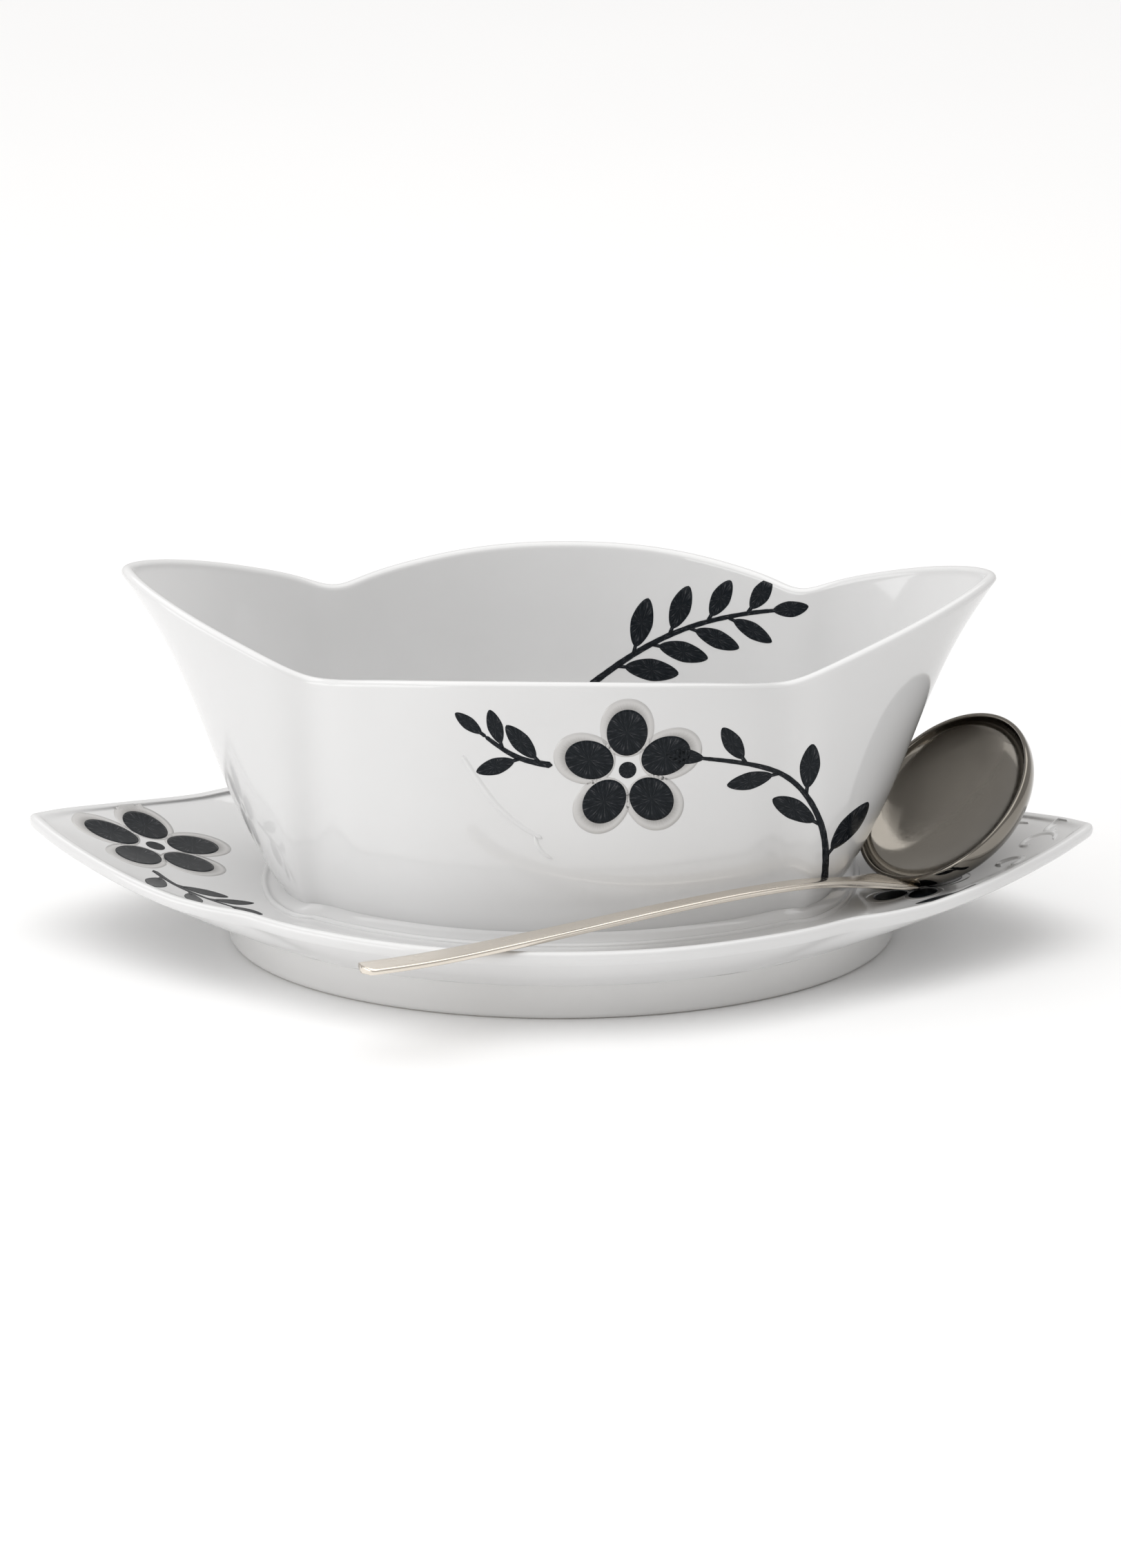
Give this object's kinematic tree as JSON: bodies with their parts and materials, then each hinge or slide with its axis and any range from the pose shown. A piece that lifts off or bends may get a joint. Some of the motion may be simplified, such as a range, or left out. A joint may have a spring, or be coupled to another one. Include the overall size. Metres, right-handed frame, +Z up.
{
  "type": "gravy boat",
  "caption": "Lobed two-lipped porcelain gravy boat luted to its own pointed oval saucer with a foot ring, and a loose polished steel gravy ladle resting on the saucer.",
  "frame": {"origin": "centre of the foot ring, on the plane that it stands on", "axes": "+X along the length towards the pouring lip that the ladle's bowl lies under, -Y towards the side that the ladle's handle crosses, +Z up"},
  "size_m": [0.2401, 0.1732, 0.085],
  "materials": {
    "glazed_porcelain": "clear glossy glaze over white porcelain",
    "foot_porcelain": "glazed sides with an unglazed ground edge",
    "brush_ink": "hand-brushed black-blue underglaze paint under clear glaze",
    "ink_wash": "thin grey underglaze wash under clear glaze",
    "polished_steel": "mirror-polished stainless steel",
    "handle_steel": "satin-polished stainless steel"
  },
  "bodies": {
    "boat_and_stand": {"boat_bowl": "glazed_porcelain", "slip_joint": "glazed_porcelain", "saucer": "glazed_porcelain", "foot_ring": "foot_porcelain"},
    "ladle": {"ladle_bowl": "polished_steel", "ladle_handle": "handle_steel"}
  },
  "joints": [
    {"name": "ladle_lift", "type": "slide", "parent": "boat_and_stand", "child": "ladle", "axis": [0.6484, -0.399, 0.6484], "range_m": [0, 0.17]}
  ]
}
